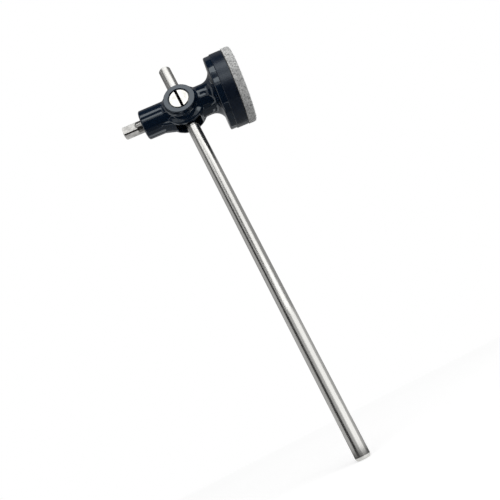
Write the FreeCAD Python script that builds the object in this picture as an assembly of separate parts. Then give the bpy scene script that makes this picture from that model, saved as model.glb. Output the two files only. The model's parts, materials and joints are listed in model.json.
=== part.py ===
"""Bass drum beater: a round steel shaft with a tilting head that holds a felt disc.

The shaft stands along +Z with the middle of its lower end at the origin. The head is
modelled about its own pivot, with +X towards the felt and +Y along the pivot barrel,
and is then tilted and lifted to its place on the shaft. All sizes are in millimetres.
"""
import FreeCAD, Part
import math
import os

from FreeCAD import Vector

# Shaft
shaft_diameter = 8.0
shaft_length = 261.7
shaft_end_chamfer = 0.7
height_mark_width = 0.6
height_mark_depth = 0.2
height_mark_drop = 1.5

# Place and tilt of the head on the shaft
head_drop = 34.0
head_tilt_deg = 4.9
tilt_limit_deg = 18.0

# Clearances
running_clearance = 0.05
slip_clearance = 0.2
slot_clearance = 0.4
clamp_clearance = 0.12
cut_overrun = 1.0
match_tolerance = 0.001

# Hub: a boss, a neck and a flange about one axis, crossed by the pivot boss, with a sloping round cheek
# above and below the pivot for the shaft to pass through and a web from the boss to the lower cheek
boss_diameter = 18.9
boss_reach = 27.9
boss_edge_radius = 1.2
boss_blend_radius = 4.0
pivot_boss_diameter = 20.2
pivot_boss_width = 23.8
pivot_boss_edge_radius = 0.5
neck_diameter = 19.8
neck_blend_radius = 3.5
flange_diameter = 46.7
flange_reach = 26.9
flange_thickness = 4.1
flange_edge_radius = 0.9
flare_radius = 7.2
cheek_diameter = 27.6
cheek_drop = 0.6
cheek_rim_wall = 1.4
cheek_slope_deg = 24.0
cheek_core_diameter = 12.0
cheek_edge_radius = 1.2
cheek_blend_radius = 3.0
web_start = 17.0
web_end = 7.0
web_slope_deg = 17.0
web_side_inset = 0.5
web_edge_radius = 1.5
hub_mouth_chamfer = 0.5
pip_diameter = 3.0
pip_height = 1.6
pip_spacing = 24.0

# Pivot barrel
barrel_diameter = 13.1
barrel_end_recess = 0.2
barrel_end_chamfer = 0.5
driver_slot_width = 1.8
driver_slot_depth = 1.6

# Thread insert
insert_diameter = 11.2
insert_length = 14.0
insert_recess = 0.6
insert_groove_width = 3.0
insert_groove_depth = 0.8

# Clamp screw and the pad on its nose
screw_diameter = 8.0
screw_point_chamfer = 0.6
key_square = 6.35
key_reach = 41.5
key_length = 9.6
key_tip_chamfer = 0.5
shoulder_slope_deg = 35.0
nose_diameter = 3.4
nose_length = 2.0
pad_diameter = 5.8
pad_length = 4.2
pad_dome_radius = 4.0

# Felt cup
cup_diameter = 47.7
cup_length = 7.8
cup_floor = 2.6
cup_wall = 2.2
cup_rear_edge_radius = 0.6
cup_front_edge_radius = 0.4

# Cup screw
cup_screw_diameter = 4.8
cup_screw_length = 13.0
cup_screw_head_diameter = 9.2
cup_screw_head_rim = 0.4
cup_screw_recess_width = 1.1
cup_screw_recess_span = 4.6
cup_screw_recess_depth = 1.4
pilot_depth_spare = 1.0

# Backing disc, adhesive film and felt
film_thickness = 0.3
film_margin = 0.3
felt_diameter = 48.4
felt_thickness = 6.2
felt_crown = 0.7
felt_front_edge_radius = 1.8
felt_rear_edge_radius = 0.3

# Radii and places worked out from the sizes above
pivot_height = shaft_length - head_drop
shaft_radius = shaft_diameter / 2
barrel_radius = barrel_diameter / 2
barrel_bore_radius = barrel_radius + running_clearance
boss_radius = boss_diameter / 2
pivot_boss_radius = pivot_boss_diameter / 2
pivot_boss_reach = pivot_boss_width / 2
neck_radius = neck_diameter / 2
flange_radius = flange_diameter / 2
screw_radius = screw_diameter / 2
pad_radius = pad_diameter / 2
nose_radius = nose_diameter / 2
cup_radius = cup_diameter / 2
cup_front = flange_reach + cup_length
cup_floor_front = flange_reach + cup_floor
cup_bore_radius = cup_radius - cup_wall
tilt_limit = math.radians(tilt_limit_deg)
slot_half_width = shaft_radius + slot_clearance
slot_half_waist = slot_half_width / math.cos(tilt_limit)
cheek_radius = cheek_diameter / 2
cheek_rim_reach = slot_half_width + cheek_rim_wall
cheek_core_radius = cheek_core_diameter / 2
cheek_rise = (cheek_radius - cheek_core_radius) * math.tan(math.radians(cheek_slope_deg))
cheek_floor = cheek_radius + cheek_drop

# The dome on the pad stays clear of the shaft at either end of the tilt
pad_front = (shaft_radius + pad_dome_radius) / math.cos(tilt_limit) - pad_dome_radius + clamp_clearance
pad_rear = pad_front + pad_length
screw_front = pad_rear + running_clearance
key_start = key_reach - key_length

AXIS_X = Vector(1, 0, 0)
AXIS_Y = Vector(0, 1, 0)
AXIS_Z = Vector(0, 0, 1)
ORIGIN = Vector(0, 0, 0)


def rod(radius, start, end, axis=AXIS_X):
    """A cylinder about an axis through the origin, between two places along it."""
    return Part.makeCylinder(radius, end - start, axis * start, axis)


def cone(start_radius, end_radius, start, end, axis=AXIS_X):
    """A cone or taper about an axis through the origin, between two places along it."""
    return Part.makeCone(start_radius, end_radius, end - start, axis * start, axis)


def block(low, high):
    """A box between two opposite corners."""
    size = high - low
    return Part.makeBox(size.x, size.y, size.z, low)


def rings(shape, axis, place, radius):
    """The circular edges of a shape about an axis, at one place and of one radius."""
    found = []
    for edge in shape.Edges:
        if edge.Degenerated or not isinstance(edge.Curve, Part.Circle):
            continue
        curve = edge.Curve
        aligned = abs(curve.Axis.dot(axis)) > math.cos(tilt_limit)
        apart = (curve.Center - axis * place).Length
        if aligned and apart < match_tolerance and abs(curve.Radius - radius) < match_tolerance:
            found.append(edge)
    return found


def on_shaft(shape):
    """Lift a shape from the pivot's own frame to its place on the shaft."""
    shape.translate(AXIS_Z * pivot_height)
    return shape


def on_head(shape):
    """Tilt a shape with the head and lift it to its place on the shaft."""
    shape.rotate(ORIGIN, AXIS_Y, head_tilt_deg)
    return on_shaft(shape)


def make_shaft():
    """The round bar that the pedal holds, with chamfered ends and a fine height mark."""
    bar = rod(shaft_radius, 0, shaft_length, AXIS_Z)
    ends = rings(bar, AXIS_Z, 0, shaft_radius) + rings(bar, AXIS_Z, shaft_length, shaft_radius)
    bar = bar.makeChamfer(shaft_end_chamfer, ends)
    mark_top = pivot_height - cheek_floor - height_mark_drop
    mark_low = mark_top - height_mark_width
    groove = rod(shaft_radius + cut_overrun, mark_low, mark_top, AXIS_Z)
    groove = groove.cut(rod(shaft_radius - height_mark_depth, mark_low, mark_top, AXIS_Z))
    return bar.cut(groove)


def make_pivot_barrel():
    """The cross-drilled pin that the head tilts on, open at the back for the clamp pad."""
    half = pivot_boss_reach - barrel_end_recess
    barrel = rod(barrel_radius, -half, half, AXIS_Y)
    ends = rings(barrel, AXIS_Y, -half, barrel_radius) + rings(barrel, AXIS_Y, half, barrel_radius)
    barrel = barrel.makeChamfer(barrel_end_chamfer, ends)
    outside = barrel_radius + cut_overrun
    cross_hole = rod(shaft_radius + running_clearance, -outside, outside, AXIS_Z)
    pad_half = pad_radius + slip_clearance
    pad_way = block(Vector(-outside, -pad_half, -outside), Vector(0, pad_half, outside))
    slot_half = driver_slot_width / 2
    slot_floor = driver_slot_depth - half
    driver_slot = block(
        Vector(-slot_half, -half - cut_overrun, -outside), Vector(slot_half, slot_floor, outside)
    )
    return on_shaft(barrel.cut([cross_hole, pad_way, driver_slot]))


def cross_creases(shape, radius, side):
    """The crease where the pivot boss meets a round arm of the hub on one side of the pivot."""
    found = []
    for edge in shape.Edges:
        if edge.Degenerated or not isinstance(edge.Curve, Part.BSplineCurve):
            continue
        place = edge.valueAt((edge.FirstParameter + edge.LastParameter) / 2)
        on_arm = abs(math.hypot(place.y, place.z) - radius) < match_tolerance
        if on_arm and place.x * side > 0:
            found.append(edge)
    return found


def shared_creases(shape, first, second):
    """The edges of a joined shape that lie on the skins of both of the shapes it was made from."""
    found = []
    for edge in shape.Edges:
        if edge.Degenerated:
            continue
        place = Part.Vertex(edge.valueAt((edge.FirstParameter + edge.LastParameter) / 2))
        gaps = [Part.Compound(part.Faces).distToShape(place)[0] for part in (first, second)]
        if max(gaps) < match_tolerance:
            found.append(edge)
    return found


def hub_arms():
    """The hub's outside without its cheeks: boss, pivot boss, neck and flange, blended together."""
    boss = rod(boss_radius, -boss_reach, 0)
    boss = boss.makeFillet(boss_edge_radius, rings(boss, AXIS_X, -boss_reach, boss_radius))
    pivot_boss = rod(pivot_boss_radius, -pivot_boss_reach, pivot_boss_reach, AXIS_Y)
    ends = rings(pivot_boss, AXIS_Y, -pivot_boss_reach, pivot_boss_radius)
    ends += rings(pivot_boss, AXIS_Y, pivot_boss_reach, pivot_boss_radius)
    pivot_boss = pivot_boss.makeFillet(pivot_boss_edge_radius, ends)
    flange_back = flange_reach - flange_thickness
    flange = rod(flange_radius, flange_back, flange_reach)
    flange = flange.makeFillet(flange_edge_radius, rings(flange, AXIS_X, flange_back, flange_radius))
    arm = flange.fuse(rod(neck_radius, 0, flange_reach)).removeSplitter()
    arm = arm.makeFillet(flare_radius, rings(arm, AXIS_X, flange_back, neck_radius))
    arms = pivot_boss.fuse([boss, arm]).removeSplitter()
    arms = arms.makeFillet(boss_blend_radius, cross_creases(arms, boss_radius, -1))
    return arms.makeFillet(neck_blend_radius, cross_creases(arms, neck_radius, 1))


def hub_cheeks():
    """The round body through the pivot that shows as a sloping cheek above and below the hub's arms."""
    cheeks = rod(cheek_radius, -cheek_rim_reach, cheek_rim_reach, AXIS_Y)
    core_reach = cheek_rim_reach + cheek_rise
    for way in (AXIS_Y, -AXIS_Y):
        cheeks = cheeks.fuse(cone(cheek_radius, cheek_core_radius, cheek_rim_reach, core_reach, way))
    edges = rings(cheeks, AXIS_Y, -cheek_rim_reach, cheek_radius)
    edges += rings(cheeks, AXIS_Y, cheek_rim_reach, cheek_radius)
    cheeks = cheeks.makeFillet(cheek_edge_radius, edges)
    cheeks.translate(AXIS_Z * -cheek_drop)
    return cheeks


def hub_web():
    """The tapered web under the boss that runs down into the lower cheek."""
    end_radius = boss_radius + (web_start - web_end) * math.tan(math.radians(web_slope_deg))
    taper = cone(boss_radius, end_radius, -web_start, -web_end)
    reach = cheek_rim_reach - web_side_inset
    sides = block(Vector(-web_start, -reach, -end_radius), Vector(-web_end, reach, 0))
    web = taper.common(sides)
    edges = []
    for edge in web.Edges:
        place = edge.valueAt((edge.FirstParameter + edge.LastParameter) / 2)
        at_side = abs(abs(place.y) - reach) < match_tolerance
        on_taper = math.hypot(place.y, place.z) > boss_radius
        at_end = abs(place.x + web_end) < match_tolerance
        if at_side and on_taper and not at_end:
            edges.append(edge)
    return web.makeFillet(web_edge_radius, edges)


def hub_blank():
    """The hub's outside before its holes are made."""
    arms = hub_arms()
    cheeks = hub_cheeks()
    blank = arms.fuse(cheeks)
    blank = blank.makeFillet(cheek_blend_radius, shared_creases(blank, arms, cheeks))
    return blank.fuse(hub_web())


def tilt_slot():
    """The fan-shaped way for the shaft: it lets the head tilt to its limit either way."""
    far = cheek_floor + cut_overrun
    half_at_mouth = slot_half_waist + far * math.tan(tilt_limit)
    outline = [
        Vector(-half_at_mouth, -slot_half_width, -far),
        Vector(-slot_half_waist, -slot_half_width, 0),
        Vector(-half_at_mouth, -slot_half_width, far),
        Vector(half_at_mouth, -slot_half_width, far),
        Vector(slot_half_waist, -slot_half_width, 0),
        Vector(half_at_mouth, -slot_half_width, -far),
    ]
    face = Part.Face(Part.makePolygon(outline + outline[:1]))
    return face.extrude(AXIS_Y * (2 * slot_half_width))


def barrel_way():
    """The pivot bore across the hub, with a chamfer at each mouth."""
    outside = pivot_boss_reach + cut_overrun
    way = rod(barrel_bore_radius, -outside, outside, AXIS_Y)
    wide = barrel_bore_radius + hub_mouth_chamfer + cut_overrun
    for side in (1, -1):
        inner = side * (pivot_boss_reach - hub_mouth_chamfer)
        mouth = Part.makeCone(
            barrel_bore_radius, wide, hub_mouth_chamfer + cut_overrun, AXIS_Y * inner, AXIS_Y * side
        )
        way = way.fuse(mouth)
    return way


def make_thread_insert():
    """The metal bush in the boss that carries the clamp screw's thread."""
    rear = insert_recess - boss_reach
    front = rear + insert_length
    radius = insert_diameter / 2
    bush = rod(radius, rear, front)
    middle = (rear + front) / 2
    groove_half = insert_groove_width / 2
    band = rod(radius, middle - groove_half, middle + groove_half)
    band = band.cut(rod(radius - insert_groove_depth, middle - groove_half, middle + groove_half))
    bore = rod(screw_radius + running_clearance, rear - cut_overrun, front + cut_overrun)
    return bush.cut([band, bore])


def clamp_way():
    """The hole along the boss: the moulded-in seat of the thread insert, and room for the screw."""
    room = rod(screw_radius + slip_clearance, -boss_reach - cut_overrun, 0)
    return make_thread_insert().fuse(room)


def pips(radius, start, end):
    """Two short pegs on the flange that stop the cup from turning."""
    pegs = []
    for side in (1, -1):
        place = Vector(start, side * pip_spacing / 2, 0)
        pegs.append(Part.makeCylinder(radius, end - start, place, AXIS_X))
    return pegs


def make_hub():
    """The moulded hub with its pivot bore, shaft slot, clamp hole and screw pilot hole."""
    hub = hub_blank()
    pilot_end = cup_floor_front - cup_screw_length - pilot_depth_spare
    pilot = rod(cup_screw_diameter / 2 + running_clearance, pilot_end, flange_reach + cut_overrun)
    hub = hub.cut([barrel_way(), tilt_slot(), clamp_way(), pilot])
    return hub.fuse(pips(pip_diameter / 2, flange_reach, flange_reach + pip_height)).removeSplitter()


def make_clamp_screw():
    """The clamp screw: a round threaded shank with a nose and a square end for a drum key."""
    thread = rod(screw_radius, -key_start, -screw_front)
    ends = rings(thread, AXIS_X, -screw_front, screw_radius)
    thread = thread.makeChamfer(screw_point_chamfer, ends)
    nose = rod(nose_radius, -screw_front, nose_length - screw_front)
    half = key_square / 2
    shoulder_length = (screw_radius - half) / math.tan(math.radians(shoulder_slope_deg))
    shoulder = cone(half, screw_radius, -key_start - shoulder_length, -key_start)
    key = block(Vector(-key_reach, -half, -half), Vector(-key_start, half, half))
    tip = rod(screw_radius, -key_reach, -key_start)
    tip = tip.makeChamfer(key_tip_chamfer, rings(tip, AXIS_X, -key_reach, screw_radius))
    return thread.fuse([nose, shoulder, key.common(tip)]).removeSplitter()


def make_clamp_pad():
    """The soft metal pad that turns freely on the screw's nose and bears on the shaft."""
    body = rod(pad_radius, -pad_rear, -pad_front)
    dome = Part.makeSphere(pad_dome_radius, AXIS_X * (-pad_front - pad_dome_radius), AXIS_X)
    dome_back = rod(pad_radius, -pad_rear, -pad_front - pad_dome_radius)
    pad = body.common(dome.fuse(dome_back))
    socket_depth = nose_length + running_clearance
    socket = rod(nose_radius + running_clearance, -pad_rear - cut_overrun, socket_depth - pad_rear)
    return pad.cut(socket)


def screw_head_cone(spread):
    """The countersunk head of the cup screw, or with a spread its seat in the cup's floor."""
    head_radius = cup_screw_head_diameter / 2 + spread
    shank_radius = cup_screw_diameter / 2 + spread
    rim_back = cup_floor_front - cup_screw_head_rim
    drop = head_radius - shank_radius
    rim = rod(head_radius, rim_back, cup_floor_front)
    return rim.fuse(cone(shank_radius, head_radius, rim_back - drop, rim_back))


def make_felt_cup():
    """The round cup behind the felt: a floor against the flange and a rim round the backing."""
    cup = rod(cup_radius, flange_reach, cup_front)
    cup = cup.makeFillet(cup_rear_edge_radius, rings(cup, AXIS_X, flange_reach, cup_radius))
    cup = cup.makeFillet(cup_front_edge_radius, rings(cup, AXIS_X, cup_front, cup_radius))
    recess = rod(cup_bore_radius, cup_floor_front, cup_front + cut_overrun)
    hole_radius = cup_screw_diameter / 2 + slip_clearance
    hole = rod(hole_radius, flange_reach - cut_overrun, cup_front)
    seat = screw_head_cone(running_clearance)
    pip_holes = pips(pip_diameter / 2 + running_clearance, flange_reach - cut_overrun, cup_front)
    return cup.cut([recess, hole, seat] + pip_holes)


def make_cup_screw():
    """The countersunk screw under the backing disc that holds the cup to the hub."""
    head = screw_head_cone(0)
    shank = rod(cup_screw_diameter / 2, cup_floor_front - cup_screw_length, cup_floor_front)
    shank = shank.makeChamfer(
        screw_point_chamfer,
        rings(shank, AXIS_X, cup_floor_front - cup_screw_length, cup_screw_diameter / 2),
    )
    span = cup_screw_recess_span / 2
    width = cup_screw_recess_width / 2
    floor = cup_floor_front - cup_screw_recess_depth
    roof = cup_floor_front + cut_overrun
    recess = [
        block(Vector(floor, -span, -width), Vector(roof, span, width)),
        block(Vector(floor, -width, -span), Vector(roof, width, span)),
    ]
    return head.fuse(shank).removeSplitter().cut(recess)


def make_backing_disc():
    """The stiff disc that fills the cup, so that the felt has a flat bed."""
    return rod(cup_bore_radius - running_clearance, cup_floor_front, cup_front)


def make_adhesive_film():
    """The film of glue between the cup's face and the felt."""
    return rod(cup_radius - film_margin, cup_front, cup_front + film_thickness)


def make_felt_pad():
    """The felt disc: a low crown at the front and rounded edges."""
    radius = felt_diameter / 2
    rear = cup_front + film_thickness
    front = rear + felt_thickness
    disc = rod(radius, rear, front)
    crown_radius = (radius**2 + felt_crown**2) / (2 * felt_crown)
    crown = Part.makeSphere(crown_radius, AXIS_X * (front - crown_radius), AXIS_X)
    pad = disc.common(crown)
    edge_place = front - felt_crown
    pad = pad.makeFillet(felt_front_edge_radius, rings(pad, AXIS_X, edge_place, radius))
    return pad.makeFillet(felt_rear_edge_radius, rings(pad, AXIS_X, rear, radius))


def main():
    """Build every piece in its place and write one file for each."""
    pieces = {
        "shaft": make_shaft(),
        "pivot_barrel": make_pivot_barrel(),
        "hub": on_head(make_hub()),
        "thread_insert": on_head(make_thread_insert()),
        "clamp_screw": on_head(make_clamp_screw()),
        "clamp_pad": on_head(make_clamp_pad()),
        "felt_cup": on_head(make_felt_cup()),
        "cup_screw": on_head(make_cup_screw()),
        "backing_disc": on_head(make_backing_disc()),
        "adhesive_film": on_head(make_adhesive_film()),
        "felt_pad": on_head(make_felt_pad()),
    }
    os.makedirs("parts", exist_ok=True)
    for node, shape in pieces.items():
        shape.exportStep(f"parts/{node}.step")


main()
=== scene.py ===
"""Dress a bass drum beater: a ground steel shaft, a tilting black hub, a plated key screw and grey felt.

Every piece is built in metres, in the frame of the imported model, and rides on one of its bodies.
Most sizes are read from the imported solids, so the looks follow them.
"""

import json
import logging
import math
from dataclasses import dataclass
from enum import Enum
from typing import Any, Sequence

import bmesh
import bpy
from mathutils import Matrix, Quaternion, Vector, noise


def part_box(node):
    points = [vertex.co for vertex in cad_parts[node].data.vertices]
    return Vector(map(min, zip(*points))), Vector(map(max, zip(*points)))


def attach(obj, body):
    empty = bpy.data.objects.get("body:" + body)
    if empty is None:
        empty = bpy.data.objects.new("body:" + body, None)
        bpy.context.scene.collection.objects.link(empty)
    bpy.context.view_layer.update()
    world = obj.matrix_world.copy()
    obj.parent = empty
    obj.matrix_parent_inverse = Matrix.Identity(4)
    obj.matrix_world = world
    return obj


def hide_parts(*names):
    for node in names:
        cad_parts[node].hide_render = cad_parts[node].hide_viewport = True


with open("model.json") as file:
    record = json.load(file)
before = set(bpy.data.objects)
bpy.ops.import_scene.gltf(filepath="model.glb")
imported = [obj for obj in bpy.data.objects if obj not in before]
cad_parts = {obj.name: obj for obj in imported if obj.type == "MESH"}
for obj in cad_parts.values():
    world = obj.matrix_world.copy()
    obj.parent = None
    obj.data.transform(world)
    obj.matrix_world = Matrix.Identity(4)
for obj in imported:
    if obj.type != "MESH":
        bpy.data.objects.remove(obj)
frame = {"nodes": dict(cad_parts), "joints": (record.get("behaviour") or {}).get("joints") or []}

LOG = logging.getLogger("beater")
MM = 0.001
MERGE_DISTANCE = 0.002 * MM

Colour = tuple[float, float, float]
Piece = bpy.types.Object
Profile = Sequence[tuple[float, float]]
Socket = bpy.types.NodeSocket


class Body(Enum):
    """The rigid bodies of the beater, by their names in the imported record."""

    SHAFT = "shaft"
    BARREL = "barrel"
    HEAD = "head"
    PAD = "pad"
    SCREW = "screw"


@dataclass(frozen=True)
class HeadFrame:
    """The head's own frame: its pivot, the way to the felt, along the barrel, and up."""

    pivot: Vector
    forward: Vector
    across: Vector
    up: Vector

    @classmethod
    def from_joints(cls, joints: Sequence[dict]) -> "HeadFrame":
        """Read the frame from the tilt joint and the clamp's travel.

        Args:
            joints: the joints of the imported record.

        Returns:
            The head's frame at rest.
        """
        by_name = {joint["name"]: joint for joint in joints}
        forward = Vector(by_name["clamp_travel"]["axis"]).normalized()
        across = Vector(by_name["head_tilt"]["axis"]).normalized()
        return cls(Vector(by_name["head_tilt"]["pos_m"]), forward, across, forward.cross(across))

    def lathe_matrix(self) -> Matrix:
        """The matrix that lays a shape turned about +Z along the head's axis."""
        turn = Matrix((self.across, self.up, self.forward)).transposed().to_4x4()
        return Matrix.Translation(self.pivot) @ turn


@dataclass(frozen=True)
class Turning:
    """The outline of a turned solid: places along its axis, and its widest radius."""

    low: float
    high: float
    radius: float

    @classmethod
    def of_node(cls, node: str, to_part: Matrix) -> "Turning":
        """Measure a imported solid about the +Z axis of a frame.

        Args:
            node: the solid's name.
            to_part: the matrix from that frame to the part's frame.

        Returns:
            Its ends along the axis and its radius.
        """
        to_frame = to_part.inverted()
        points = [to_frame @ vertex.co for vertex in frame["nodes"][node].data.vertices]
        places = [point.z for point in points]
        return cls(min(places), max(places), max(math.hypot(point.x, point.y) for point in points))


def turned_profile(node: str, to_part: Matrix) -> list[tuple[float, float]]:
    """Read the stepped profile of a solid that was turned about one axis.

    Args:
        node: the solid's name.
        to_part: the matrix from a frame whose +Z is that axis to the part's frame.

    Returns:
        Pairs of place along the axis and radius, from one end to the other.
    """
    to_frame = to_part.inverted()
    digits = 6
    found = set()
    for vertex in frame["nodes"][node].data.vertices:
        point = to_frame @ vertex.co
        found.add((round(point.z, digits), round(math.hypot(point.x, point.y), digits)))
    profile: list[tuple[float, float]] = []
    for place in sorted({place for place, _ in found}):
        radii = sorted(radius for level, radius in found if level == place)
        if profile and abs(radii[-1] - profile[-1][1]) < abs(radii[0] - profile[-1][1]):
            radii.reverse()
        profile.extend((place, radius) for radius in radii)
    return profile


def lathe(name: str, profile: Profile, segments: int, to_part: Matrix) -> Piece:
    """Turn a profile about +Z and close it with a point at each end.

    Args:
        name: the piece's name.
        profile: pairs of place along the axis and radius, all radii above zero.
        segments: the number of sides.
        to_part: the matrix that puts the shape in its place.

    Returns:
        A linked mesh object with its place in its mesh.
    """
    shell = bmesh.new()
    rings = []
    for place, radius in profile:
        angles = [2 * math.pi * step / segments for step in range(segments)]
        rings.append([shell.verts.new((radius * math.cos(a), radius * math.sin(a), place)) for a in angles])
    for lower, upper in zip(rings, rings[1:]):
        for step in range(segments):
            after = (step + 1) % segments
            shell.faces.new((lower[step], lower[after], upper[after], upper[step]))
    foot = shell.verts.new((0, 0, profile[0][0]))
    top = shell.verts.new((0, 0, profile[-1][0]))
    for step in range(segments):
        after = (step + 1) % segments
        shell.faces.new((foot, rings[0][after], rings[0][step]))
        shell.faces.new((top, rings[-1][step], rings[-1][after]))
    bmesh.ops.recalc_face_normals(shell, faces=shell.faces)
    return linked(name, shell, to_part)


def linked(name: str, shell: bmesh.types.BMesh, to_part: Matrix) -> Piece:
    """Turn a bmesh into a linked object whose place is in its mesh.

    Args:
        name: the piece's name.
        shell: the bmesh, which is freed.
        to_part: the matrix that puts the shape in its place.

    Returns:
        The new object at the origin.
    """
    mesh = bpy.data.meshes.new(name)
    shell.to_mesh(mesh)
    shell.free()
    mesh.transform(to_part)
    piece = bpy.data.objects.new(name, mesh)
    bpy.context.scene.collection.objects.link(piece)
    return piece


def shade(piece: Piece, crease_deg: float) -> None:
    """Shade a piece smooth up to a crease angle, with flat faces kept flat.

    Args:
        piece: the mesh object.
        crease_deg: the angle between faces above which an edge stays sharp.
    """
    imported = piece.data.attributes.get("custom_normal")
    if imported:
        piece.data.attributes.remove(imported)
    piece.data.shade_smooth()
    piece.data.set_sharp_from_angle(angle=math.radians(crease_deg))
    weighted = piece.modifiers.new("even_shading", "WEIGHTED_NORMAL")
    weighted.keep_sharp = True
    settle(piece)


def settle(piece: Piece) -> None:
    """Turn a piece's modifiers into plain mesh and remove them.

    Args:
        piece: the mesh object.
    """
    bpy.context.view_layer.update()
    graph = bpy.context.evaluated_depsgraph_get()
    made = bpy.data.meshes.new_from_object(piece.evaluated_get(graph))
    piece.modifiers.clear()
    old = piece.data
    piece.data = made
    bpy.data.meshes.remove(old)
    made.name = piece.name


def solid_copy(node: str, name: str, crease_deg: float) -> Piece:
    """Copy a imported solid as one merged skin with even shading.

    Args:
        node: the solid's name.
        name: the new piece's name.
        crease_deg: the angle above which an edge stays sharp.

    Returns:
        The new piece, in the solid's place.
    """
    shell = bmesh.new()
    shell.from_mesh(frame["nodes"][node].data)
    bmesh.ops.remove_doubles(shell, verts=shell.verts, dist=MERGE_DISTANCE)
    piece = linked(name, shell, Matrix.Identity(4))
    shade(piece, crease_deg)
    return piece


def dress(piece: Piece, body: Body, material: bpy.types.Material, slot: str, *nodes: str) -> None:
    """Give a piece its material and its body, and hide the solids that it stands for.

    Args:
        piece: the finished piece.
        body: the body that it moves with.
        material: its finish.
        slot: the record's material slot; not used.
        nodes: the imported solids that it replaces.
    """
    piece.data.materials.clear()
    piece.data.materials.append(material)
    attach(piece, body.value)
    if nodes:
        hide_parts(*nodes)
    LOG.info("%s rides on %s with %d faces", piece.name, body.value, len(piece.data.polygons))


class Nodes:
    """Adds nodes to one tree and joins them."""

    def __init__(self, tree: bpy.types.NodeTree) -> None:
        """Start with an empty tree."""
        self.tree = tree
        tree.nodes.clear()

    def node(self, kind: str, **settings: Any) -> bpy.types.Node:
        """Add a node.

        Args:
            kind: the node's type.
            settings: its settings, such as its operation.

        Returns:
            The new node.
        """
        node = self.tree.nodes.new(kind)
        for name, value in settings.items():
            setattr(node, name, value)
        return node

    def put(self, value: Any, target: Socket) -> None:
        """Join a socket to an input, or set the input to a plain value.

        Args:
            value: the socket or the value.
            target: the input.
        """
        if isinstance(value, Socket):
            self.tree.links.new(value, target)
        else:
            target.default_value = value

    def fill(self, node: bpy.types.Node, **values: Any) -> None:
        """Fill a node's inputs with sockets or plain values; underscores stand for spaces."""
        for name, value in values.items():
            self.put(value, node.inputs[name.replace("_", " ")])

    def math(self, operation: str, *values: Any) -> Socket:
        """Work out a value from sockets and numbers.

        Args:
            operation: the Math node's operation.
            values: its inputs in order.

        Returns:
            The value.
        """
        node = self.node("ShaderNodeMath", operation=operation)
        for socket, value in zip(node.inputs, values):
            self.put(value, socket)
        return node.outputs["Value"]

    def spread(self, value: Socket, source: Sequence[float], target: Sequence[float]) -> Socket:
        """Map a value from one range to another and hold it there.

        Args:
            value: the value to map.
            source: the low and high ends that it comes from.
            target: the low and high ends that it goes to.

        Returns:
            The mapped value.
        """
        node = self.node("ShaderNodeMapRange")
        (low, high), (first, last) = source, target
        self.fill(node, Value=value, From_Min=low, From_Max=high, To_Min=first, To_Max=last)
        return node.outputs["Result"]


class ShaderTree(Nodes):
    """Builds one material's nodes around a single Principled surface."""

    def __init__(self, name: str) -> None:
        """Start a material.

        Args:
            name: the material's name.
        """
        self.material, made = blank_material(name)
        super().__init__(made.tree)
        self.surface = self.node("ShaderNodeBsdfPrincipled")
        self.fill(self.node("ShaderNodeOutputMaterial"), Surface=self.surface.outputs["BSDF"])
        self.place = self.node("ShaderNodeTexCoord").outputs["Object"]

    def feed(self, **values: Any) -> None:
        """Fill the surface's inputs, each with a socket, or with a value that is the same all over."""
        self.fill(self.surface, **values)

    def mapped(
        self, sizes: Sequence[float], centre: Vector = Vector(), turn: Quaternion = Quaternion()
    ) -> Socket:
        """Object coordinates counted in feature sizes from a centre.

        Args:
            sizes: the length in metres that counts as one, along each axis.
            centre: the point that counts as zero.
            turn: the turn of the axes.

        Returns:
            The mapped vector.
        """
        node = self.node("ShaderNodeMapping", vector_type="TEXTURE")
        self.fill(node, Vector=self.place, Location=centre, Rotation=turn.to_euler(), Scale=sizes)
        return node.outputs["Vector"]

    def noise(self, vector: Socket, detail: float, roughness: float) -> Socket:
        """Smooth noise of one cycle per unit.

        Args:
            vector: the mapped coordinates.
            detail: octaves.
            roughness: how strong the finer octaves are.

        Returns:
            A value round one half.
        """
        node = self.node("ShaderNodeTexNoise")
        self.fill(node, Vector=vector, Scale=1, Detail=detail, Roughness=roughness)
        return node.outputs["Fac"]

    def radius(self, vector: Socket) -> Socket:
        """Measure a vector.

        Args:
            vector: the vector.

        Returns:
            Its length.
        """
        node = self.node("ShaderNodeVectorMath", operation="LENGTH")
        self.put(vector, node.inputs[0])
        return node.outputs["Value"]

    def parts(self, vector: Socket) -> dict[str, Socket]:
        """Take a vector apart.

        Args:
            vector: the vector.

        Returns:
            Its X, Y and Z by name.
        """
        node = self.node("ShaderNodeSeparateXYZ")
        self.fill(node, Vector=vector)
        return {axis: node.outputs[axis] for axis in "XYZ"}

    def mix(self, share: Socket, first: Any, second: Any) -> Socket:
        """Mix two colours, each a colour or a socket.

        Args:
            share: how much of the second shows.
            first: the first colour.
            second: the second colour.

        Returns:
            The mixed colour.
        """
        node = self.node("ShaderNodeMix", data_type="RGBA")
        self.put(share, node.inputs[0])
        for socket, colour in ((node.inputs[6], first), (node.inputs[7], second)):
            self.put(colour if isinstance(colour, Socket) else (*colour, 1), socket)
        return node.outputs[2]

    def bump(self, height: Socket, depth: float, strength: float = 1.0) -> None:
        """Raise the surface by a height map.

        Args:
            height: values from 0 to 1.
            depth: the height in metres of a value of 1.
            strength: how much of it shows.
        """
        node = self.node("ShaderNodeBump")
        self.fill(node, Height=height, Distance=depth, Strength=strength)
        self.feed(Normal=node.outputs["Normal"])


def blank_material(name: str) -> tuple[bpy.types.Material, Nodes]:
    """Start a material.

    Args:
        name: the material's name.

    Returns:
        The material and its empty tree.
    """
    material = bpy.data.materials.new(name)
    material.use_nodes = True
    return material, Nodes(material.node_tree)


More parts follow.
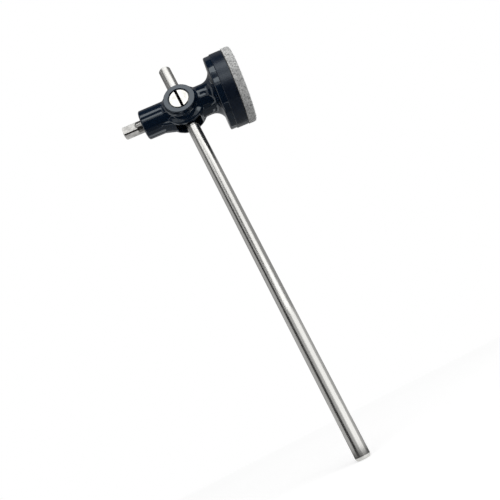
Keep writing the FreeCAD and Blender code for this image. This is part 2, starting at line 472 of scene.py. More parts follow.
@dataclass(frozen=True)
class GroundSteel:
    """Bar steel, ground along its length to a satin face."""

    name: str = "ground_steel"
    pale: Colour = (0.62, 0.615, 0.595)
    dull: Colour = (0.55, 0.545, 0.525)
    line_width: float = 0.3 * MM
    line_length: float = 70 * MM
    smooth: float = 0.2
    rough: float = 0.28
    line_depth: float = 0.001 * MM
    patch_width: float = 8 * MM
    patch_length: float = 40 * MM

    def build(self) -> bpy.types.Material:
        """Make the material, with its grinding lines along +Z.

        Returns:
            The material.
        """
        tree = ShaderTree(self.name)
        lines = tree.noise(tree.mapped((self.line_width, self.line_width, self.line_length)), 3, 0.6)
        patches = tree.noise(tree.mapped((self.patch_width, self.patch_width, self.patch_length)), 2, 0.5)
        blend = tree.math("MULTIPLY_ADD", patches, 0.4, lines)
        tone = tree.mix(tree.spread(blend, (0.45, 0.95), (0, 1)), self.dull, self.pale)
        tree.feed(Base_Color=tone, Roughness=tree.spread(blend, (0.4, 1), (self.rough, self.smooth)), Metallic=1)
        tree.bump(lines, self.line_depth, 0.25)
        return tree.material


@dataclass(frozen=True)
class BrightPlate:
    """Nickel plate over turned steel, with faint rings about one axis."""

    name: str
    centre: Vector
    turn: Quaternion
    pale: Colour = (0.66, 0.655, 0.62)
    dull: Colour = (0.56, 0.555, 0.52)
    ring_width: float = 0.12 * MM
    ring_depth: float = 0.0015 * MM
    stain_size: float = 3 * MM
    smooth: float = 0.14
    rough: float = 0.24

    def build(self) -> bpy.types.Material:
        """Make the material, with its turning rings about the turned frame's +Z.

        Returns:
            The material.
        """
        tree = ShaderTree(self.name)
        endless = 1000
        flat = tree.mapped((self.ring_width, self.ring_width, endless), self.centre, self.turn)
        ring = tree.node("ShaderNodeCombineXYZ")
        tree.fill(ring, X=tree.radius(flat))
        rings = tree.noise(ring.outputs["Vector"], 2, 0.6)
        stain = tree.noise(tree.mapped((self.stain_size,) * 3), 4, 0.6)
        tone = tree.mix(tree.spread(stain, (0.35, 0.6), (0, 1)), self.dull, self.pale)
        polish = tree.spread(stain, (0.3, 0.7), (self.rough, self.smooth))
        tone, polish = self.paint_recess_shade(tree, tone, polish)
        tree.feed(Base_Color=tone, Roughness=polish, Metallic=1)
        tree.bump(rings, self.ring_depth, 0.5)
        return tree.material

    def paint_recess_shade(self, tree: ShaderTree, tone: Socket, polish: Socket) -> tuple[Socket, Socket]:
        """Paint no shade on a plate without a slot.

        Args:
            tree: the material's nodes; not used here.
            tone: the plate's colour.
            polish: the plate's roughness.

        Returns:
            The colour and the roughness.
        """
        return tone, polish


@dataclass(frozen=True)
class SlottedPlate(BrightPlate):
    """Bright plate with a driver slot whose walls and floor carry painted shade, dark and rough."""

    slot_half_width: float = 0.9 * MM
    slot_depth: float = 1.6 * MM
    end_face: float = 0.0
    spare: float = 0.02 * MM
    slot_shade: Colour = (0.012, 0.012, 0.012)
    slot_shade_roughness: float = 0.7

    def paint_recess_shade(self, tree: ShaderTree, tone: Socket, polish: Socket) -> tuple[Socket, Socket]:
        """Paint shade into the slot: darken and roughen its walls and floor.

        Args:
            tree: the material's nodes.
            tone: the plate's colour.
            polish: the plate's roughness.

        Returns:
            The colour and the roughness.
        """
        # Painted shade: a near-black, rough colour on the slot's walls and floor, where the slot's depth shades
        # them.
        place = tree.parts(tree.place)
        beside = tree.math("COMPARE", place["X"], self.centre.x, self.slot_half_width + self.spare)
        middle = self.end_face + self.slot_depth / 2 + 2 * self.spare
        below = tree.math("COMPARE", place["Y"], middle, self.slot_depth / 2)
        slot = tree.math("MULTIPLY", beside, below)
        roughened = tree.mix(slot, polish, (self.slot_shade_roughness,) * 3)
        return tree.mix(slot, tone, self.slot_shade), roughened


@dataclass(frozen=True)
class Moulding:
    """Black glass-filled nylon, as it leaves the mould."""

    name: str
    dark: Colour
    pale: Colour
    smooth: float
    rough: float
    specular: float
    grain_width: float
    grain_depth: float
    mark_size: float = 9 * MM
    sheen: tuple[float, ...] = (0.86, 0.95, 1, 1)

    def build(self) -> bpy.types.Material:
        """Make the material, with a fine mould grain and faint handling marks.

        Returns:
            The material.
        """
        tree = ShaderTree(self.name)
        grain = tree.noise(tree.mapped((self.grain_width,) * 3), 3, 0.55)
        marks = tree.noise(tree.mapped((self.mark_size,) * 3), 5, 0.62)
        tone = tree.mix(tree.spread(marks, (0.35, 0.75), (0, 1)), self.dark, self.pale)
        tree.feed(Base_Color=tone, Roughness=tree.spread(marks, (0.35, 0.7), (self.smooth, self.rough)))
        tree.feed(Specular_IOR_Level=self.specular, Specular_Tint=self.sheen)
        tree.bump(grain, self.grain_depth, 0.6)
        return tree.material


@dataclass(frozen=True)
class PressedFelt:
    """Grey wool felt, pressed hard, with pale and dark fibres mixed."""

    name: str = "pressed_felt"
    pale: Colour = (0.64, 0.645, 0.635)
    middle: Colour = (0.46, 0.464, 0.46)
    dark: Colour = (0.15, 0.152, 0.152)
    cloud: float = 3.5 * MM
    fleck: float = 1.0 * MM
    fibre: float = 0.12 * MM
    fibre_stretch: float = 6.0
    depth: float = 0.16 * MM

    def build(self) -> bpy.types.Material:
        """Make the material, with cloudy tone, flecks and matted fibres.

        Returns:
            The material.
        """
        tree = ShaderTree(self.name)
        cloud = tree.noise(tree.mapped((self.cloud,) * 3), 3, 0.6)
        fleck = tree.noise(tree.mapped((self.fleck,) * 3), 4, 0.65)
        fibre = tree.noise(tree.mapped((self.fibre, self.fibre, self.fibre * self.fibre_stretch)), 3, 0.7)
        tone = tree.mix(tree.spread(cloud, (0.35, 0.65), (0, 1)), self.middle, self.pale)
        tone = tree.mix(tree.spread(fleck, (0.5, 0.62), (0, 0.85)), tone, self.dark)
        tone = tree.mix(tree.spread(fibre, (0.55, 0.75), (0, 0.5)), tone, self.pale)
        tree.feed(Base_Color=tone, Roughness=0.95, Specular_IOR_Level=0.15, Sheen_Weight=0.25, Sheen_Roughness=0.5)
        tree.bump(tree.math("MULTIPLY_ADD", fibre, 0.5, fleck), self.depth, 0.7)
        return tree.material


@dataclass(frozen=True)
class PlainStock:
    """A simple two-tone stock for the pieces inside: brass, board, glue or zinc."""

    name: str
    pale: Colour
    dark: Colour
    metallic: float
    smooth: float
    rough: float
    grain: Vector
    depth: float

    def build(self) -> bpy.types.Material:
        """Make the material, with its grain stretched to the grain's sizes.

        Returns:
            The material.
        """
        tree = ShaderTree(self.name)
        grain = tree.noise(tree.mapped(self.grain), 4, 0.6)
        tone = tree.mix(tree.spread(grain, (0.3, 0.7), (0, 1)), self.dark, self.pale)
        polish = tree.spread(grain, (0.3, 0.7), (self.rough, self.smooth))
        tree.feed(Base_Color=tone, Roughness=polish, Metallic=self.metallic)
        tree.bump(grain, self.depth, 0.6)
        return tree.material


@dataclass
class Shaft:
    """The round bar with broken ends and a fine height mark."""

    segments: int = 128
    crease_deg: float = 30

    def build(self) -> None:
        """Turn the bar from its solid's own profile and dress it."""
        profile = turned_profile("shaft", Matrix.Identity(4))
        bar = lathe("shaft_bar", profile, self.segments, Matrix.Identity(4))
        shade(bar, self.crease_deg)
        dress(bar, Body.SHAFT, GroundSteel().build(), "shaft_steel", "shaft")


@dataclass
class Hub:
    """The black hub, its felt cup and the bright barrel that it tilts on."""

    head: HeadFrame
    crease_deg: float = 32

    def build(self) -> None:
        """Copy and dress the moulded pieces and the barrel."""
        gloss = Moulding(
            "gloss_moulding",
            dark=(0.0022, 0.0072, 0.018),
            pale=(0.0036, 0.011, 0.026),
            smooth=0.09,
            rough=0.13,
            specular=0.95,
            grain_width=0.9 * MM,
            grain_depth=0.002 * MM,
        )
        satin = Moulding(
            "satin_moulding",
            dark=(0.0018, 0.0062, 0.0185),
            pale=(0.0032, 0.0098, 0.026),
            smooth=0.27,
            rough=0.35,
            specular=0.7,
            grain_width=0.35 * MM,
            grain_depth=0.006 * MM,
        )
        hub = solid_copy("hub", "hub_moulding", self.crease_deg)
        dress(hub, Body.HEAD, gloss.build(), "hub_plastic", "hub")
        cup = solid_copy("felt_cup", "felt_cup_moulding", self.crease_deg)
        dress(cup, Body.HEAD, satin.build(), "cup_plastic", "felt_cup")
        along_barrel = self.head.across.to_track_quat("Z", "X")
        plate = SlottedPlate("barrel_plate", self.head.pivot, along_barrel, end_face=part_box("pivot_barrel")[0][1])
        barrel = solid_copy("pivot_barrel", "pivot_barrel_pin", self.crease_deg)
        dress(barrel, Body.BARREL, plate.build(), "barrel_plate", "pivot_barrel")


@dataclass(frozen=True)
class ScrewThread:
    """A right-handed thread, cut into a round shank from a place on it to its point."""

    pitch: float = 1.25 * MM
    depth: float = 0.62 * MM
    steps_per_turn: int = 10
    run_out_turns: float = 0.8
    crest_share: float = 0.14

    def cut_depth(self, turns: float, all_turns: float, angle: float) -> float:
        """How deep the thread is at one point of the shank.

        Args:
            turns: the distance from the thread's start, counted in pitches.
            all_turns: the thread's length, counted in pitches.
            angle: the angle about the shank.

        Returns:
            The depth below the shank's outside.
        """
        phase = (turns - angle / (2 * math.pi)) % 1
        slope = 1 - abs(2 * phase - 1)
        groove = min(1, max(0, (slope - self.crest_share) / (1 - 2 * self.crest_share)))
        fade = min(1, turns / self.run_out_turns, (all_turns - turns) / self.run_out_turns)
        return self.depth * groove * max(0, fade)

    def rows(self, profile: Profile, start: float, angles: Sequence[float]) -> list[list[Vector]]:
        """The threaded shank's rings of points, from the thread's start to the nose's end.

        Args:
            profile: pairs of place and radius, from the end of the plain shank on.
            start: where the thread starts.
            angles: the angles of each ring's points.

        Returns:
            The rings, without the one at the start.
        """
        end, outside = profile[0]
        all_turns = (end - start) / self.pitch
        count = round(all_turns * self.steps_per_turn)
        rings = []
        for step in range(1, count):
            turns = all_turns * step / count
            radii = [outside - self.cut_depth(turns, all_turns, angle) for angle in angles]
            rings.append((start + turns * self.pitch, radii))
        rings.extend((place, [radius] * len(angles)) for place, radius in profile)
        return [
            [Vector((r * math.cos(a), r * math.sin(a), place)) for r, a in zip(radii, angles)]
            for place, radii in rings
        ]

    def cut(self, node: str, name: str, to_part: Matrix, start: float) -> Piece:
        """Copy a screw's solid and give the shank beyond one place its thread.

        Args:
            node: the solid's name.
            name: the new piece's name.
            to_part: the matrix from a frame whose +Z runs to the screw's nose to the part's frame.
            start: where the thread starts along +Z.

        Returns:
            The threaded screw as one closed skin.
        """
        shell = bmesh.new()
        shell.from_mesh(frame["nodes"][node].data)
        shell.transform(to_part.inverted())
        bmesh.ops.remove_doubles(shell, verts=shell.verts, dist=MERGE_DISTANCE)
        everything = [*shell.verts, *shell.edges, *shell.faces]
        bmesh.ops.bisect_plane(shell, geom=everything, plane_co=(0, 0, start), plane_no=(0, 0, 1), clear_outer=True)
        bmesh.ops.remove_doubles(shell, verts=shell.verts, dist=MERGE_DISTANCE)
        rim = [vertex for vertex in shell.verts if vertex.is_boundary]
        rim.sort(key=lambda vertex: math.atan2(vertex.co.y, vertex.co.x))
        angles = [math.atan2(vertex.co.y, vertex.co.x) for vertex in rim]
        profile = [row for row in turned_profile(node, to_part) if row[0] > start]
        rings = [rim]
        for points in self.rows(profile, start, angles):
            rings.append([shell.verts.new(point) for point in points])
        nose = shell.verts.new((0, 0, profile[-1][0]))
        for step in range(len(rim)):
            after = (step + 1) % len(rim)
            for lower, upper in zip(rings, rings[1:]):
                shell.faces.new((lower[step], lower[after], upper[after], upper[step]))
            shell.faces.new((nose, rings[-1][step], rings[-1][after]))
        bmesh.ops.recalc_face_normals(shell, faces=shell.faces)
        return linked(name, shell, to_part)


@dataclass
class Clamp:
    """The key screw, the pad on its nose and the bush that it threads through."""

    head: HeadFrame
    crease_deg: float = 32
    thread_inset: float = 0.4 * MM

    def build(self) -> None:
        """Thread and dress the screw, and copy and dress the pad and the bush."""
        plate = BrightPlate(
            "screw_plate",
            self.head.pivot,
            self.head.forward.to_track_quat("Z", "Y"),
            pale=(0.48, 0.475, 0.46),
            dull=(0.41, 0.405, 0.39),
            smooth=0.22,
            rough=0.34,
        )
        along = self.head.lathe_matrix()
        start = Turning.of_node("thread_insert", along).low + self.thread_inset
        screw = ScrewThread().cut("clamp_screw", "clamp_screw_shank", along, start)
        shade(screw, self.crease_deg)
        dress(screw, Body.SCREW, plate.build(), "screw_plate", "clamp_screw")
        brass = PlainStock(
            "turned_brass",
            pale=(0.78, 0.6, 0.28),
            dark=(0.6, 0.43, 0.18),
            metallic=1,
            smooth=0.22,
            rough=0.36,
            grain=Vector((0.2 * MM, 2 * MM, 2 * MM)),
            depth=0.003 * MM,
        ).build()
        pad = solid_copy("clamp_pad", "clamp_pad_button", self.crease_deg)
        dress(pad, Body.PAD, brass, "pad_brass", "clamp_pad")
        bush = solid_copy("thread_insert", "thread_insert_bush", self.crease_deg)
        dress(bush, Body.HEAD, brass, "insert_brass", "thread_insert")


class FuzzTree(Nodes):
    """Geometry Nodes that scatter short bent fibres over a surface."""

    def __init__(self) -> None:
        """Build the tree with its named inputs."""
        super().__init__(bpy.data.node_groups.new("felt_fuzz", "GeometryNodeTree"))
        face = self.tree.interface
        face.new_socket("Surface", in_out="INPUT", socket_type="NodeSocketGeometry")
        face.new_socket("Fibres", in_out="OUTPUT", socket_type="NodeSocketGeometry")
        kinds = {"Density": "Float", "Length": "Float", "Thickness": "Float", "Seed": "Int", "Finish": "Material"}
        self.inputs = {
            name: face.new_socket(name, in_out="INPUT", socket_type=f"NodeSocket{kind}").identifier
            for name, kind in kinds.items()
        }
        self.given = self.node("NodeGroupInput").outputs
        self.build()

    def fibre(self) -> Socket:
        """Make one fibre of unit length that leaves the surface and bends over.

        Returns:
            The fibre's mesh.
        """
        arc = self.node("GeometryNodeCurveQuadraticBezier")
        self.fill(arc, Resolution=3, Start=(0, 0, -0.08), Middle=(0.15, 0, 0.45), End=(0.75, 0.1, 0.35))
        ring = self.node("GeometryNodeCurvePrimitiveCircle")
        self.fill(ring, Resolution=3, Radius=self.math("DIVIDE", self.given["Thickness"], self.given["Length"]))
        sweep = self.node("GeometryNodeCurveToMesh")
        self.fill(sweep, Curve=arc.outputs["Curve"], Profile_Curve=ring.outputs["Curve"], Fill_Caps=True)
        return sweep.outputs["Mesh"]

    def chance(self, low: Sequence[float], high: Sequence[float], shift: int) -> Socket:
        """A random vector for each point, with its own seed.

        Args:
            low: the lowest values.
            high: the highest values.
            shift: what is added to the tree's seed.

        Returns:
            The random vector.
        """
        pick = self.node("FunctionNodeRandomValue", data_type="FLOAT_VECTOR")
        pick.inputs[0].default_value = low
        pick.inputs[1].default_value = high
        self.fill(pick, Seed=self.math("ADD", self.given["Seed"], shift))
        return pick.outputs[0]

    def build(self) -> None:
        """Scatter, turn and size the fibres, and give them their finish."""
        scatter = self.node("GeometryNodeDistributePointsOnFaces")
        self.fill(scatter, Mesh=self.given["Surface"], Density=self.given["Density"], Seed=self.given["Seed"])
        lean = 0.5
        euler = self.node("FunctionNodeEulerToRotation")
        self.fill(euler, Euler=self.chance((-lean, -lean, 0), (lean, lean, 2 * math.pi), 1))
        turn = self.node("FunctionNodeRotateRotation", rotation_space="LOCAL")
        self.fill(turn, Rotation=scatter.outputs["Rotation"], Rotate_By=euler.outputs["Rotation"])
        size = self.node("ShaderNodeVectorMath", operation="SCALE")
        self.put(self.chance((0.5, 0.5, 0.3), (1.3, 1.3, 1), 2), size.inputs[0])
        self.fill(size, Scale=self.given["Length"])
        place = self.node("GeometryNodeInstanceOnPoints")
        self.fill(place, Points=scatter.outputs["Points"], Instance=self.fibre())
        self.fill(place, Rotation=turn.outputs["Rotation"], Scale=size.outputs["Vector"])
        real = self.node("GeometryNodeRealizeInstances")
        self.fill(real, Geometry=place.outputs["Instances"])
        finish = self.node("GeometryNodeSetMaterial")
        self.fill(finish, Geometry=real.outputs["Geometry"], Material=self.given["Finish"])
        self.fill(self.node("NodeGroupOutput"), Fibres=finish.outputs["Geometry"])

    def grow(self, name: str, surface: Piece, **values: Any) -> Piece:
        """Grow fibres on a copy of a surface and keep them as a plain mesh.

        Args:
            name: the new piece's name.
            surface: the piece that they grow on.
            values: the tree's inputs by name.

        Returns:
            The fibres as one piece.
        """
        fuzz = bpy.data.objects.new(name, surface.data.copy())
        bpy.context.scene.collection.objects.link(fuzz)
        modifier = fuzz.modifiers.new("fuzz", "NODES")
        modifier.node_group = self.tree
        for key, value in values.items():
            modifier[self.inputs[key]] = value
        settle(fuzz)
        return fuzz


@dataclass
class FeltPad:
    """The felt disc: crowned in front, rounded at its edges, a little uneven and hairy."""

    head: HeadFrame
    segments: int = 200
    crown: float = 0.7 * MM
    front_edge: float = 1.8 * MM
    rear_edge: float = 0.3 * MM
    edge_steps: int = 8
    face_steps: int = 44
    side_steps: int = 14
    swell: float = 0.16 * MM
    swell_size: float = 2.6 * MM
    fibre_length: float = 0.9 * MM
    fibre_thickness: float = 0.019 * MM
    fibre_density: float = 2.2e6
    fibre_seed: int = 7

    def profile(self, disc: Turning) -> list[tuple[float, float]]:
        """The disc's outline from the middle of its back to the middle of its front.

        Args:
            disc: the solid's ends and radius.

        Returns:
            Pairs of place along the axis and radius.
        """
        shoulder = disc.high - self.crown
        points = []
        for step in range(1, self.face_steps):
            points.append((disc.low, (disc.radius - self.rear_edge) * step / self.face_steps))
        for step in range(self.edge_steps + 1):
            angle = math.pi / 2 * step / self.edge_steps
            lift = self.rear_edge * (1 - math.cos(angle))
            points.append((disc.low + lift, disc.radius - self.rear_edge * (1 - math.sin(angle))))
        side_low, side_high = disc.low + self.rear_edge, shoulder - self.front_edge
        for step in range(1, self.side_steps):
            points.append((side_low + (side_high - side_low) * step / self.side_steps, disc.radius))
        for step in range(self.edge_steps + 1):
            angle = math.pi / 2 * step / self.edge_steps
            place = side_high + self.front_edge * math.sin(angle)
            points.append((place, disc.radius - self.front_edge * (1 - math.cos(angle))))
        edge = disc.radius - self.front_edge
        for step in range(self.face_steps - 1, 0, -1):
            share = step / self.face_steps
            points.append((shoulder + self.crown * (1 - share**2), edge * share))
        return points

    def roughen(self, disc: Piece) -> None:
        """Press the surface in unevenly, as hand-cut felt is.

        Args:
            disc: the turned disc.
        """
        falloff, step_up, octaves = 1.0, 2.0, 3
        for vertex in disc.data.vertices:
            value = noise.fractal(vertex.co / self.swell_size, falloff, step_up, octaves)
            vertex.co -= vertex.normal * self.swell * (0.5 + 0.5 * value)
        disc.data.update()

    def build(self) -> None:
        """Turn, roughen and dress the disc, and grow its fuzz."""
        along = self.head.lathe_matrix()
        solid = Turning.of_node("felt_pad", along)
        disc = lathe("felt_disc", self.profile(solid), self.segments, along)
        self.roughen(disc)
        disc.data.shade_smooth()
        felt = PressedFelt().build()
        dress(disc, Body.HEAD, felt, "felt", "felt_pad")
        fuzz = FuzzTree().grow(
            "felt_fuzz",
            disc,
            Density=self.fibre_density,
            Length=self.fibre_length,
            Thickness=self.fibre_thickness,
            Seed=self.fibre_seed,
            Finish=felt,
        )
        dress(fuzz, Body.HEAD, felt, "felt")


@dataclass
class HiddenFittings:
    """The pieces behind the felt: the cup's screw, the backing board and the glue."""

    crease_deg: float = 32

    def build(self) -> None:
        """Copy and dress each hidden piece."""
        even = Vector((MM, MM, MM))
        layered = Vector((2 * MM, 0.4 * MM, 0.4 * MM))
        zinc = PlainStock(
            "zinc_plate",
            pale=(0.66, 0.66, 0.6),
            dark=(0.5, 0.5, 0.46),
            metallic=1,
            smooth=0.25,
            rough=0.4,
            grain=even,
            depth=0.002 * MM,
        )
        board = PlainStock(
            "fibre_board",
            pale=(0.42, 0.3, 0.18),
            dark=(0.27, 0.18, 0.1),
            metallic=0,
            smooth=0.75,
            rough=0.9,
            grain=layered,
            depth=0.03 * MM,
        )
        glue = PlainStock(
            "dried_glue",
            pale=(0.07, 0.068, 0.064),
            dark=(0.04, 0.039, 0.037),
            metallic=0,
            smooth=0.35,
            rough=0.6,
            grain=even,
            depth=0.02 * MM,
        )
        stocks = {
            "cup_screw": ("cup_screw_steel", zinc),
            "backing_disc": ("backing_board", board),
            "adhesive_film": ("glue", glue),
        }
        for node, (slot, stock) in stocks.items():
            piece = solid_copy(node, f"{node}_piece", self.crease_deg)
            dress(piece, Body.HEAD, stock.build(), slot, node)


def direction(azimuth_deg: float, elevation_deg: float) -> Vector:
    """The way from the head to a place in the studio.

    Args:
        azimuth_deg: 0 is -Y, towards the camera, and 90 is +X.
        elevation_deg: 0 is level and 90 is straight up.

    Returns:
        A unit vector.
    """
    azimuth, elevation = math.radians(azimuth_deg), math.radians(elevation_deg)
    level = math.cos(elevation)
    return Vector((level * math.sin(azimuth), -level * math.cos(azimuth), math.sin(elevation)))


@dataclass(frozen=True)
class Softbox:
    """A flat soft light that faces the head."""

    name: str
    azimuth_deg: float
    elevation_deg: float
    distance: float
    width: float
    height: float
    radiance: float
    mirrored: bool = True

    def build(self, target: Vector) -> None:
        """Hang the light.

        Args:
            target: the point that it faces.
        """
        lamp = bpy.data.lights.new(self.name, "AREA")
        lamp.shape = "RECTANGLE"
        lamp.size, lamp.size_y = self.width, self.height
        lamp.energy = self.radiance * math.pi * self.width * self.height
        way = direction(self.azimuth_deg, self.elevation_deg)
        holder = bpy.data.objects.new(self.name, lamp)
        holder.visible_glossy = self.mirrored
        holder.location = target + way * self.distance
        holder.rotation_euler = way.to_track_quat("Z", "Y").to_euler()
        bpy.context.scene.collection.objects.link(holder)


@dataclass(frozen=True)
class Card:
    """A bent card that bright surfaces mirror and the camera doesn't see, round the head or the foot."""

    name: str
    azimuths_deg: tuple[float, float]
    elevations_deg: tuple[float, float]
    grey: float
    distance: float = 1.5
    round_foot: bool = False
    step_deg: float = 8.0

    def points(self, target: Vector) -> list[list[Vector]]:
        """The card's grid of points.

        Args:
            target: the point that it bends round.

        Returns:
            Rows of points from its upper edge to its lower edge, so that it faces inwards.
        """
        (left, right), (low, high) = self.azimuths_deg, self.elevations_deg
        across = max(1, round((right - left) / self.step_deg))
        upward = max(1, round((high - low) / self.step_deg))
        return [
            [
                target
                + self.distance
                * direction(left + (right - left) * i / across, low + (high - low) * j / upward)
                for i in range(across + 1)
            ]
            for j in reversed(range(upward + 1))
        ]

    def build(self, target: Vector) -> None:
        """Stand the card up round the head, or on the floor round the shaft's foot.

        Args:
            target: the head's pivot.
        """
        centre = Vector() if self.round_foot else target
        hang_card(self.name, self.points(centre), self.grey)


@dataclass(frozen=True)
class FloorCard:
    """A flat card on the floor that bright surfaces mirror and the camera doesn't see."""

    name: str
    low: tuple[float, float]
    high: tuple[float, float]
    grey: float
    lift: float = MM

    def build(self, target: Vector) -> None:
        """Lay the card on the floor.

        Args:
            target: the point that the studio is set up round; not used.
        """
        (left, near), (right, far) = self.low, self.high
        rows = [[Vector((x, y, self.lift)) for x in (left, right)] for y in (near, far)]
        hang_card(self.name, rows, self.grey)


def hang_card(name: str, rows: Sequence[Sequence[Vector]], grey: float) -> None:
    """Make a card that only mirrors see, from its front.

    Args:
        name: the card's name.
        rows: its grid of points.
        grey: how bright it looks.
    """
    shell = bmesh.new()
    grid = [[shell.verts.new(point) for point in row] for row in rows]
    for lower, upper in zip(grid, grid[1:]):
        for step in range(len(lower) - 1):
            shell.faces.new((lower[step], lower[step + 1], upper[step + 1], upper[step]))
    card = linked(name, shell, Matrix.Identity(4))
    card.visible_camera = False
    card.visible_diffuse = False
    card.visible_shadow = False
    material, nodes = blank_material(name)
    glow = nodes.node("ShaderNodeEmission")
    nodes.fill(glow, Color=(grey, grey, grey, 1))
    mixer = nodes.node("ShaderNodeMixShader")
    nodes.fill(mixer, Fac=nodes.node("ShaderNodeNewGeometry").outputs["Backfacing"])
    nodes.put(glow.outputs["Emission"], mixer.inputs[1])
    nodes.put(nodes.node("ShaderNodeBsdfTransparent").outputs["BSDF"], mixer.inputs[2])
    nodes.fill(nodes.node("ShaderNodeOutputMaterial"), Surface=mixer.outputs["Shader"])
    card.data.materials.append(material)


def backdrop_rays(nodes: Nodes) -> Socket:
    """Tell which rays see the white background.

    Args:
        nodes: the floor's or the world's tree.

    Returns:
        One for the camera's rays and for those from mirrors and through glass, else nought.
    """
    rays = nodes.node("ShaderNodeLightPath").outputs
    seen = rays["Is Camera Ray"]
    for name in ("Is Glossy Ray", "Is Transmission Ray"):
        seen = nodes.math("MAXIMUM", seen, rays[name])
    return seen


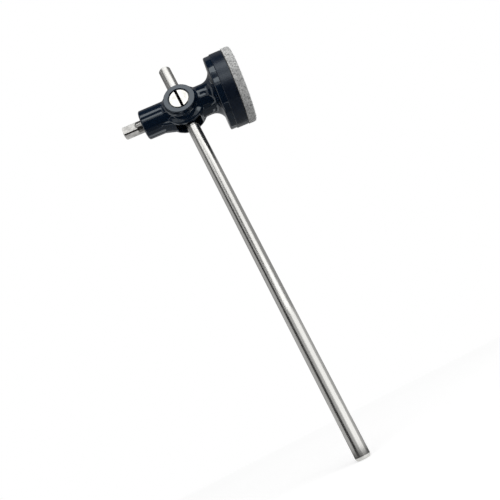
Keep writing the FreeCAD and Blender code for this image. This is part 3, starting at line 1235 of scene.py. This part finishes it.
@dataclass
class Studio:
    """White background, pale floor, soft lights and cards."""

    target: Vector
    floor_radius: float = 1.5
    floor_segments: int = 96
    floor_drop: float = 0.2 * MM
    floor_grey: float = 0.55
    floor_glow_near: float = 0.58
    floor_glow_far: float = 0.77
    fill: float = 0.36
    foot_tiers: tuple[tuple[float, tuple[float, float]], ...] = ((36 * MM, (0, 52)), (92 * MM, (4, 70)))

    def lights(self) -> list[Softbox]:
        """List the soft lights.

        Returns:
            The lights.
        """
        return [
            Softbox("upper_softbox", 20, 41.5, 1.1, 1.6, 0.34, 1.9),
            Softbox("lower_softbox", 28, 4.5, 1.1, 1.75, 0.27, 1.9),
            Softbox("top_softbox", 8, 58, 1.2, 1.1, 1.1, 1.9, mirrored=False),
        ]

    def cards(self) -> list[Card | FloorCard]:
        """List the grey, bright and black cards.

        Returns:
            The cards round the head, round the foot and on the floor.
        """
        round_head = [
            Card("back_card", (76, 240), (-8, 36), 0.4),
            Card("left_back_card", (240, 292), (-8, 36), 0.6),
            Card("softbox_back", (-22, 68), (-9, 56), 0.01),
            Card("left_flag", (-68, -37), (-8, 30), 0.02, distance=1.3),
            Card("left_upper_flag", (-72, -38), (30, 56), 0.25, distance=1.3),
            Card("gap_flag", (-12, 6), (11, 33), 0.02, distance=1.3),
            Card("gap_card", (6, 64), (11, 33), 1.4, distance=1.3),
            Card("left_front_card", (-37, -16), (-3, 24), 0.55, distance=1.3),
            Card("left_low_card", (-37, 2), (-9, -3), 0.42, distance=1.3),
            Card("right_low_card", (2, 68), (-9, -3), 0.6, distance=1.3),
            Card("right_card", (66, 76), (-9, 56), 0.4, distance=1.4),
            Card("front_ceiling_flag", (-76, 76), (56, 90), 0.02, distance=1.3),
            Card("back_ceiling_card", (76, 284), (36, 90), 0.2, distance=1.3),
        ]
        sectors = {
            "foot_left_card": (-130, -68, 0.62),
            "foot_flag": (-68, -31, 0.02),
            "foot_front_card": (-31, 8, 0.56),
            "foot_bright_card": (8, 76, 1.45),
            "foot_right_card": (76, 130, 0.56),
        }
        round_foot = [
            Card(f"{name}_{tier}", (left, right), rise, grey, distance, round_foot=True)
            for tier, (distance, rise) in enumerate(self.foot_tiers)
            for name, (left, right, grey) in sectors.items()
        ]
        on_floor = [
            FloorCard("front_floor_flag", (-0.75, -1.2), (0.6, -0.03), 0.012),
            FloorCard("foot_floor_card", (-0.1, -0.09), (0.1, 0.025), 0.08, lift=1.5 * MM),
            FloorCard("back_floor_card", (-0.4, 0.025), (0.4, 1.1), 0.18),
            FloorCard("key_floor_card", (-0.18, 0.19), (-0.07, 0.46), 1.05, lift=2 * MM),
        ]
        return [*round_head, *round_foot, *on_floor]

    def floor(self) -> None:
        """Lay the floor: near white to the camera and to mirrors, and it keeps the beater's shadow."""
        shell = bmesh.new()
        bmesh.ops.create_circle(shell, cap_ends=True, segments=self.floor_segments, radius=self.floor_radius)
        floor = linked("floor", shell, Matrix.Translation((0, 0, -self.floor_drop)))
        material, nodes = blank_material("pale_floor")
        paint = nodes.node("ShaderNodeBsdfDiffuse")
        nodes.fill(paint, Color=(*(self.floor_grey,) * 3, 1))
        place = nodes.node("ShaderNodeSeparateXYZ")
        nodes.fill(place, Vector=nodes.node("ShaderNodeTexCoord").outputs["Object"])
        lift = nodes.spread(place.outputs["Y"], (0, self.floor_radius), (self.floor_glow_near, self.floor_glow_far))
        glow = nodes.node("ShaderNodeEmission")
        nodes.fill(glow, Strength=nodes.math("MULTIPLY", backdrop_rays(nodes), lift))
        both = nodes.node("ShaderNodeAddShader")
        nodes.put(paint.outputs["BSDF"], both.inputs[0])
        nodes.put(glow.outputs["Emission"], both.inputs[1])
        nodes.fill(nodes.node("ShaderNodeOutputMaterial"), Surface=both.outputs["Shader"])
        floor.data.materials.append(material)

    def world(self) -> None:
        """Make the world white to the camera and to mirrors, and a soft fill to the rest."""
        world = bpy.data.worlds.new("studio")
        bpy.context.scene.world = world
        world.use_nodes = True
        nodes = Nodes(world.node_tree)
        strength = nodes.spread(backdrop_rays(nodes), (0, 1), (self.fill, 1))
        background = nodes.node("ShaderNodeBackground")
        nodes.fill(background, Color=(1, 1, 1, 1), Strength=strength)
        nodes.fill(nodes.node("ShaderNodeOutputWorld"), Surface=background.outputs["Background"])

    def build(self) -> None:
        """Set up the whole studio."""
        self.world()
        self.floor()
        for piece in [*self.lights(), *self.cards()]:
            piece.build(self.target)
        bpy.context.scene.view_settings.view_transform = "Standard"


@dataclass(frozen=True)
class PhotoCamera:
    """The camera at the photograph's place, turned as it was held."""

    place: Vector = Vector((-2.731, -266.522, 26.219)) * MM
    aim: Vector = Vector((-3.373, 0, 122.143)) * MM
    roll_deg: float = 26.99
    lens: float = 36.0
    sensor: float = 36.0
    nearest: float = 10 * MM

    def build(self) -> None:
        """Set up the camera and make it the scene's."""
        data = bpy.data.cameras.new("photo_camera")
        data.lens = self.lens
        data.sensor_width = self.sensor
        data.sensor_fit = "HORIZONTAL"
        data.clip_start = self.nearest
        camera = bpy.data.objects.new("photo_camera", data)
        level = (self.aim - self.place).to_track_quat("-Z", "Y")
        camera.location = self.place
        camera.rotation_euler = (level @ Quaternion((0, 0, -1), math.radians(self.roll_deg))).to_euler()
        bpy.context.scene.collection.objects.link(camera)
        bpy.context.scene.camera = camera


def main() -> None:
    """Build the beater, its studio and its camera in order."""
    logging.basicConfig(level=logging.INFO)
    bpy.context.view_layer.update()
    head = HeadFrame.from_joints(frame["joints"])
    PhotoCamera().build()
    for part in (Shaft(), Hub(head), Clamp(head), HiddenFittings(), FeltPad(head)):
        part.build()
    Studio(head.pivot).build()


if __name__ == "__main__":
    main()
